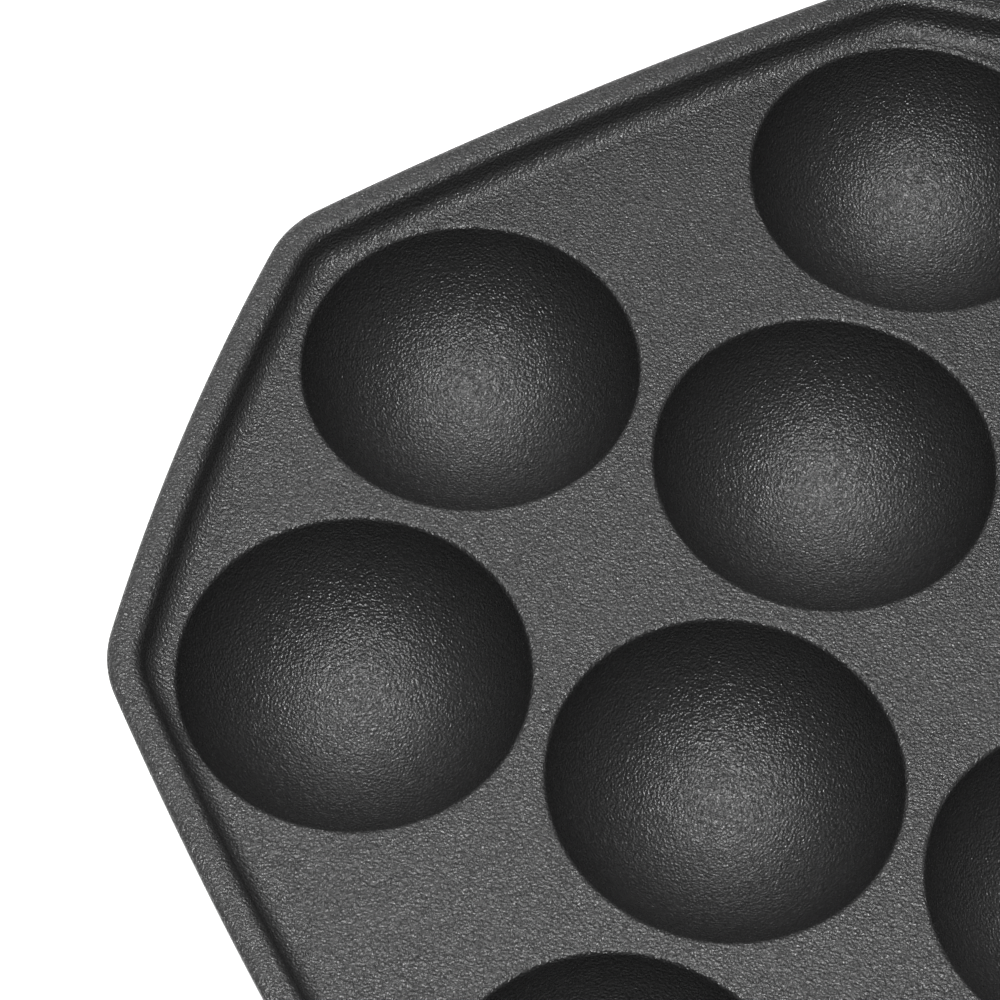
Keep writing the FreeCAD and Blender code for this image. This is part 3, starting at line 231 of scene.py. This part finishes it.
def web_mesh(mouths):
    """The face between lip and cups: a constrained triangulation of the ring inside the lip, the cups'
    outer rings as holes, and rows of points where the lip's foot curves, lifted to the face's height."""
    edge = outline(WEB_EDGE)
    loops = [edge] + [ring[:, :2] for ring in mouths]
    points, edges = [], []
    for loop in loops:
        start = len(points)
        points += loop.tolist()
        edges += [(start + i, start + (i + 1) % len(loop)) for i in range(len(loop))]
    for inset in np.arange(WEB_EDGE + WEB_STEP, PROFILE[-1, 0] + 0.3 * MM, WEB_STEP):
        row = outline(inset)
        clear = np.min([np.hypot(row[:, 0] - cx, row[:, 1] - cy) for cx, cy in CELLS], 0)
        points += row[clear > CUP_RADIUS + CUP_LAND + 0.1 * MM].tolist()
    found, _, faces, _, _, _ = delaunay_2d_cdt([Vector(p) for p in points], edges, [], 0, 1e-7)
    flat = np.array([(p.x, p.y) for p in found])
    middles = np.array([flat[list(face)].mean(0) for face in faces])
    clear = np.min([np.hypot(middles[:, 0] - cx, middles[:, 1] - cy) for cx, cy in CELLS], 0)
    chord = (CUP_RADIUS + CUP_LAND) * math.cos(math.pi / CUP_STEPS) - 1e-6
    keep = (clear > chord) & (inset_of(middles) > WEB_EDGE)
    return np.c_[flat, face_height(inset_of(flat))], [list(face) for face, k in zip(faces, keep) if k]


def underside(node, to_plate):
    """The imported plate's faces that don't belong to the cooking side, in the plate's own place: those with
    a corner below the face and off the cups' spheres, which is the outer wall and all that lies below."""
    mesh = node.data
    points = np.empty(len(mesh.vertices) * 3)
    mesh.vertices.foreach_get("co", points)
    points = (np.c_[points.reshape(-1, 3), np.ones(len(mesh.vertices))] @ np.array(to_plate).T)[:, :3]
    spheres = np.min([np.abs(np.linalg.norm(points - [cx, cy, CAST_CENTRE], axis=1) - CAST_SPHERE)
                      for cx, cy in CELLS], 0)
    cooking = (spheres < 0.08 * MM) | (points[:, 2] > CAST_FACE - 0.01 * MM)
    corners = [list(polygon.vertices) for polygon in mesh.polygons]
    return points, [at for at in corners if not cooking[at].all()]


def plate_piece(name, node, place):
    """The fine plate as one mesh: lip, face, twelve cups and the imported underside, put in its place, with
    the common rings of its parts welded, the step from the lip to the outer wall's top bridged, and edges
    over 30 degrees sharp."""
    cups = [cup_mesh(cx, cy) for cx, cy in CELLS]
    parts = [lip_mesh(), web_mesh([ring for _, ring in cups])] + [cup for cup, _ in cups]
    parts.append(underside(node, place.inverted()))
    points, faces, start = [], [], 0
    for part_points, part_faces in parts:
        points.append(part_points)
        faces += [[start + i for i in face] for face in part_faces]
        start += len(part_points)
    points = np.c_[np.concatenate(points), np.ones(start)] @ np.array(place).T
    mesh = bpy.data.meshes.new(name)
    mesh.from_pydata(points[:, :3].tolist(), [], faces)
    work = bmesh.new()
    work.from_mesh(mesh)
    bmesh.ops.remove_doubles(work, verts=work.verts, dist=WELD)
    bmesh.ops.delete(work, geom=[v for v in work.verts if not v.link_faces], context="VERTS")
    bmesh.ops.bridge_loops(work, edges=[edge for edge in work.edges if edge.is_boundary])
    work.to_mesh(mesh)
    work.free()
    mesh.shade_smooth()
    mesh.set_sharp_from_angle(angle=math.radians(30))
    piece = bpy.data.objects.new(name, mesh)
    bpy.context.scene.collection.objects.link(piece)
    return piece


def shader(name, colour, roughness, metallic=0.0):
    """A new material: its tree, its principled shader, and the object's own coordinates."""
    material = bpy.data.materials.new(name)
    material.use_nodes = True
    tree = material.node_tree
    surface = tree.nodes["Principled BSDF"]
    surface.inputs["Base Color"].default_value = (*colour, 1)
    surface.inputs["Roughness"].default_value = roughness
    surface.inputs["Metallic"].default_value = metallic
    place = tree.nodes.new("ShaderNodeTexCoord").outputs["Object"]
    return material, tree, surface, place


def noise(tree, place, size, detail=2.0, stretch=None):
    """A noise texture whose cells are size metres across, stretched along the axes if asked."""
    if stretch:
        scaled = tree.nodes.new("ShaderNodeMapping")
        scaled.inputs["Scale"].default_value = stretch
        tree.links.new(place, scaled.inputs["Vector"])
        place = scaled.outputs["Vector"]
    texture = tree.nodes.new("ShaderNodeTexNoise")
    texture.inputs["Scale"].default_value = 1.0 / size
    texture.inputs["Detail"].default_value = detail
    tree.links.new(place, texture.inputs["Vector"])
    return texture.outputs["Fac"]


def spread(tree, value, low, high, to_low, to_high):
    """Value's range low..high spread over to_low..to_high and held inside it."""
    node = tree.nodes.new("ShaderNodeMapRange")
    for socket, number in zip(("From Min", "From Max", "To Min", "To Max"), (low, high, to_low, to_high)):
        node.inputs[socket].default_value = number
    tree.links.new(value, node.inputs["Value"])
    return node.outputs["Result"]


def tint(tree, value, first, last):
    """A colour that runs from first to last as value goes from 0 to 1."""
    node = tree.nodes.new("ShaderNodeMix")
    node.data_type = "RGBA"
    node.inputs["A"].default_value = (*first, 1)
    node.inputs["B"].default_value = (*last, 1)
    tree.links.new(value, node.inputs["Factor"])
    return node.outputs["Result"]


def bump(tree, height, distance, strength=1.0, under=None):
    """A bump of the given depth in metres, over another bump if one is given."""
    node = tree.nodes.new("ShaderNodeBump")
    node.inputs["Strength"].default_value = strength
    node.inputs["Distance"].default_value = distance
    tree.links.new(height, node.inputs["Height"])
    if under is not None:
        tree.links.new(under, node.inputs["Normal"])
    return node.outputs["Normal"]


def coating():
    """Black non-stick coating: a fine wrinkled grain in the height, smaller glints in the gloss."""
    material, tree, surface, place = shader("nonstick_coating", (0.009, 0.009, 0.009), 0.25)
    coarse = bump(tree, noise(tree, place, 2.5 * MM, 1.0), 0.05 * MM)
    grain = bump(tree, noise(tree, place, 0.3 * MM, 1.5), 0.26 * MM, under=coarse)
    tree.links.new(grain, surface.inputs["Normal"])
    gloss = spread(tree, noise(tree, place, 0.35 * MM, 1.0), 0.3, 0.7, 0.18, 0.32)
    tree.links.new(gloss, surface.inputs["Roughness"])
    colour = tint(tree, noise(tree, place, 9.0 * MM, 3.0), (0.008, 0.008, 0.0081), (0.011, 0.011, 0.0111))
    tree.links.new(colour, surface.inputs["Base Color"])
    return material


low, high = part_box("lower_plate")
plate_place = Matrix.Translation(((low.x + high.x) / 2, (low.y + high.y) / 2, high.z - LIP_HEIGHT))
hinge = next(j for j in frame["joints"] if j["name"] == "lid_hinge")
pivot = Vector(hinge["pos_m"])
closing = Matrix.Translation((0, 0, pivot.z))
turned_over = closing @ Matrix.Rotation(math.pi, 4, "Y") @ closing.inverted()
opened = (Matrix.Translation(pivot) @ Matrix.Rotation(-math.radians(hinge["range_deg"][1]), 4, "X")
          @ Matrix.Translation(-pivot))

coat = coating()
lid_place = opened @ turned_over @ plate_place
for name, node, body, place in (("lower_cooking_plate", "lower_plate", "base", plate_place),
                                ("upper_cooking_plate", "upper_plate", "lid", lid_place)):
    piece = plate_piece(name, frame["nodes"][node], place)
    piece.data.materials.append(coat)
    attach(piece, body)
    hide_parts(node)


# ---- Base housing and lid shell
# Injection-moulded heat-resistant plastic, satin black with the fine spark-eroded grain of its mould,
# a little glossier where hands touch it.

def dress(material, *names):
    """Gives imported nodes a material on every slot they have."""
    for name in names:
        slots = frame["nodes"][name].material_slots
        for slot in slots:
            slot.link = "OBJECT"
            slot.material = material


def moulded(name, colour, roughness, grain=0.5 * MM, depth=0.03 * MM, edge=0.5 * MM, coat_weight=0):
    """Moulded plastic: a spark-eroded grain, slow changes of gloss, paler wear, and rounded edges."""
    material, tree, surface, place = shader(name, colour, roughness)
    rounding = tree.nodes.new("ShaderNodeBevel")
    rounding.samples = 4
    rounding.inputs["Radius"].default_value = edge
    fine = bump(tree, noise(tree, place, grain, 2.0), depth, under=rounding.outputs["Normal"])
    tree.links.new(fine, surface.inputs["Normal"])
    gloss = spread(tree, noise(tree, place, 18.0 * MM, 4.0), 0.3, 0.7, roughness - 0.06, roughness + 0.08)
    tree.links.new(gloss, surface.inputs["Roughness"])
    pale = tuple(c * 1.5 + 0.004 for c in colour)
    worn = tint(tree, noise(tree, place, 5.0 * MM, 5.0), colour, pale)
    tree.links.new(worn, surface.inputs["Base Color"])
    surface.inputs["Coat Weight"].default_value = coat_weight
    surface.inputs["Coat Roughness"].default_value = 0.25
    return material


dress(moulded("housing_plastic_black", (0.016, 0.016, 0.017), 0.42), "base_housing")
dress(moulded("lid_plastic_black", (0.018, 0.018, 0.019), 0.34, depth=0.02 * MM, coat_weight=0.25),
      "lid_shell")


# ---- Bottom cover and feet
# A flat matt moulding that closes the base, with four rubber feet pushed through it.

dress(moulded("cover_plastic_matt", (0.022, 0.022, 0.023), 0.6, grain=0.9 * MM, depth=0.05 * MM),
      "bottom_cover")
dress(moulded("foot_rubber_grey", (0.05, 0.05, 0.052), 0.82, grain=0.7 * MM, depth=0.04 * MM,
              edge=0.8 * MM), "rubber_feet")


# ---- Handle, latch and release buttons
# Thicker mouldings that stay cool to the hand, with a soft satin touch; the latch and the buttons are a
# dark grey that tells them from the black around them.

dress(moulded("handle_plastic_black", (0.02, 0.02, 0.021), 0.48, grain=0.6 * MM, edge=1.0 * MM),
      "lid_handle")
dress(moulded("latch_plastic_grey", (0.07, 0.07, 0.073), 0.42, edge=0.6 * MM), "latch")
dress(moulded("button_plastic_grey", (0.07, 0.07, 0.073), 0.42, edge=0.5 * MM),
      "lower_release", "upper_release")


# ---- Screws, pins and posts
# Turned and cold-headed steel, zinc plated, with fine turning lines and small changes of gloss.

def steel(name, colour, roughness, stretch, line=0.15 * MM, depth=0.006 * MM, spots=(0.0, 0.0, 0.0)):
    """Worked steel: lines along the working direction, patches of gloss and a faint stain."""
    material, tree, surface, place = shader(name, colour, roughness, 1.0)
    lines = bump(tree, noise(tree, place, line, 3.0, stretch), depth)
    tree.links.new(lines, surface.inputs["Normal"])
    patches = noise(tree, place, 2.5 * MM, 4.0)
    gloss = spread(tree, patches, 0.3, 0.7, roughness - 0.08, roughness + 0.12)
    tree.links.new(gloss, surface.inputs["Roughness"])
    stained = tuple(0.75 * c + 0.25 * s for c, s in zip(colour, spots))
    shade = tint(tree, spread(tree, patches, 0.45, 0.75, 0, 1), colour, stained)
    tree.links.new(shade, surface.inputs["Base Color"])
    return material


zinc = steel("zinc_plated_steel", (0.52, 0.52, 0.54), 0.32, (1, 1, 1), spots=(0.3, 0.3, 0.33))
dress(zinc, "cover_screws", "handle_screws")
dress(steel("ground_pin_steel", (0.56, 0.56, 0.57), 0.22, (0.05, 1, 1)), "hinge_pins", "latch_pin")
dress(steel("turned_post_steel", (0.5, 0.5, 0.5), 0.34, (1, 1, 0.1)), "lower_supports", "upper_supports")
dress(steel("tempered_strip_steel", (0.36, 0.36, 0.38), 0.3, (1, 0.05, 1), spots=(0.2, 0.16, 0.12)),
      "lower_release_springs", "upper_release_springs")


# ---- Reflectors and element clamps
# Pressed bright steel sheet that throws the element's heat at the plate, rolled along its length, with
# the brown bloom that heat leaves.

dress(steel("bright_reflector_sheet", (0.66, 0.65, 0.62), 0.26, (0.04, 1, 1), spots=(0.4, 0.3, 0.16)),
      "lower_reflector", "upper_reflector")
dress(steel("clamp_sheet_steel", (0.56, 0.55, 0.54), 0.3, (0.05, 1, 1), spots=(0.35, 0.27, 0.16)),
      "lower_clamps", "upper_clamps")


# ---- Heating elements
# Steel-sheathed tube, oxidised to a dark brown grey by its own heat.

dress(steel("oxidised_sheath", (0.13, 0.115, 0.1), 0.5, (1, 1, 1), line=0.4 * MM, depth=0.02 * MM,
            spots=(0.25, 0.16, 0.08)), "lower_element", "upper_element")


# ---- Thermostats, thermal fuse and terminal block
# Fired ceramic bodies, a woven glass sleeve over the fuse, and a cream moulded block.

def ceramic(name, colour, roughness, grain, depth, stretch=None):
    """A pale mineral or fibre surface: grain in the height, and a stain in the colour."""
    material, tree, surface, place = shader(name, colour, roughness)
    tree.links.new(bump(tree, noise(tree, place, grain, 3.0, stretch), depth), surface.inputs["Normal"])
    dirty = tuple(c * 0.72 for c in colour)
    cloud = spread(tree, noise(tree, place, 3.0 * MM, 4.0), 0.35, 0.7, 0, 1)
    tree.links.new(tint(tree, cloud, colour, dirty), surface.inputs["Base Color"])
    return material


dress(ceramic("steatite_body", (0.62, 0.58, 0.5), 0.38, 0.3 * MM, 0.02 * MM),
      "lower_thermostat", "upper_thermostat")
dress(ceramic("glass_fibre_sleeve", (0.74, 0.73, 0.68), 0.85, 0.4 * MM, 0.12 * MM, (1, 3, 1)),
      "thermal_fuse")
dress(ceramic("cream_terminal_plastic", (0.7, 0.67, 0.58), 0.45, 0.5 * MM, 0.02 * MM), "terminal_block")


# ---- Power inlet
# A black appliance socket moulding with three nickel-plated blades.

dress(moulded("inlet_plastic_black", (0.014, 0.014, 0.014), 0.36, edge=0.4 * MM), "power_inlet")
dress(steel("nickel_plated_brass", (0.62, 0.57, 0.46), 0.24, (1, 0.06, 1), spots=(0.5, 0.4, 0.2)),
      "inlet_blades")


# ---- Lamps
# Two clear coloured lenses in the pod's top, each over a small glass neon bulb.

def lens(name, colour):
    """Tinted clear plastic: light passes, and the underside's ribs show as a slight ripple."""
    material, tree, surface, place = shader(name, colour, 0.12)
    surface.inputs["Transmission Weight"].default_value = 0.65
    surface.inputs["IOR"].default_value = 1.49
    surface.inputs["Coat Weight"].default_value = 0.4
    tree.links.new(bump(tree, noise(tree, place, 1.2 * MM, 1.0), 0.03 * MM), surface.inputs["Normal"])
    deep = tuple(c * 0.7 for c in colour)
    depth = tint(tree, noise(tree, place, 2.0 * MM, 2.0), colour, deep)
    tree.links.new(depth, surface.inputs["Base Color"])
    return material


dress(lens("lens_red", (0.62, 0.02, 0.015)), "power_lamp")
dress(lens("lens_green", (0.03, 0.42, 0.08)), "ready_lamp")
dress(lens("bulb_glass_clear", (0.9, 0.78, 0.66)), "lamp_bulbs")


# ---- Floor, light and camera
# A pale backlit studio table top in a bright white room, with round soft lights on stands: a strong one
# high in front, a weaker one high behind, and two dim ones at the sides.

FLOOR_STEPS = 96


def pale_floor():
    """A wide disc of rings that grow outwards, with the faint mottle of a painted surface."""
    turn = np.linspace(0, 2 * math.pi, FLOOR_STEPS, endpoint=False)
    rings = [np.c_[radius * np.cos(turn), radius * np.sin(turn), np.zeros(FLOOR_STEPS)]
             for radius in np.geomspace(9.0, 0.2, 24)]
    points, faces = grid_faces(rings, pole=True)
    points[-1, 2] = 0
    mesh = bpy.data.meshes.new("studio_floor")
    mesh.from_pydata(points.tolist(), [], faces)
    floor = bpy.data.objects.new("studio_floor", mesh)
    bpy.context.scene.collection.objects.link(floor)
    material, tree, surface, place = shader("studio_floor_paint", (0.9, 0.9, 0.9), 0.85)
    surface.inputs["Specular IOR Level"].default_value = 0.1
    surface.inputs["Emission Color"].default_value = (1, 1, 1, 1)
    surface.inputs["Emission Strength"].default_value = 0.15
    mottle = tint(tree, noise(tree, place, 30 * MM, 3.0), (0.9, 0.9, 0.9), (0.925, 0.925, 0.925))
    tree.links.new(mottle, surface.inputs["Base Color"])
    mesh.materials.append(material)
    return floor


pale_floor()


def softbox(name, turn, height, size, energy, reach=1.25, aim=Vector((0.0, 0.0, 0.05))):
    """A round soft light of a given width and power. It stands its reach from the point that it looks at,
    turned clockwise from straight behind it and raised over its level by so many degrees."""
    light = bpy.data.lights.new(name, "AREA")
    light.shape = "DISK"
    light.size = size
    light.energy = energy
    turn, height = math.radians(turn), math.radians(height)
    away = Vector((math.cos(height) * math.sin(turn), math.cos(height) * math.cos(turn), math.sin(height)))
    lamp = bpy.data.objects.new(name, light)
    facing = away.to_track_quat("Z", "Y").to_matrix().to_4x4()
    lamp.matrix_world = Matrix.Translation(aim + away * reach) @ facing
    bpy.context.scene.collection.objects.link(lamp)


softbox("front_softbox", 180, 71, 0.36, 20.2)
softbox("back_softbox", 0, 72, 0.5, 5.8)
softbox("left_softbox", -60, 48, 0.6, 2.8)
softbox("right_softbox", 60, 48, 0.6, 1.0)

world = bpy.data.worlds.new("studio_room")
world.use_nodes = True
walls = world.node_tree.nodes["Background"]
walls.inputs["Color"].default_value = (1, 1, 1, 1)
walls.inputs["Strength"].default_value = 0.64
bpy.context.scene.world = world

# The camera stands in front of the base and high over it, and looks steeply down at the lower plate's
# left half. Its place is given from the plate's middle at the level of the feet.
CAMERA_PLACE = Vector((3.092, -207.087, 409.657)) * MM
CAMERA_RIGHT = Vector((0.95443, 0.29779, 0.01948))
CAMERA_DOWN = Vector((0.26388, -0.81164, -0.52116))
CAMERA_AHEAD = Vector((-0.13939, 0.50255, -0.85324))
view = bpy.data.cameras.new("photo_view")
view.sensor_width = 36
view.lens = 132.27
view.clip_start = 0.02
camera = bpy.data.objects.new("photo_view", view)
turned = Matrix((CAMERA_RIGHT, -CAMERA_DOWN, -CAMERA_AHEAD)).transposed().to_4x4()
plate_middle = Vector((plate_place.translation.x, plate_place.translation.y, -CAST_FACE))
camera.matrix_world = Matrix.Translation(CAMERA_PLACE + plate_middle) @ turned
bpy.context.scene.collection.objects.link(camera)
bpy.context.scene.camera = camera
bpy.context.scene.view_settings.view_transform = "Standard"
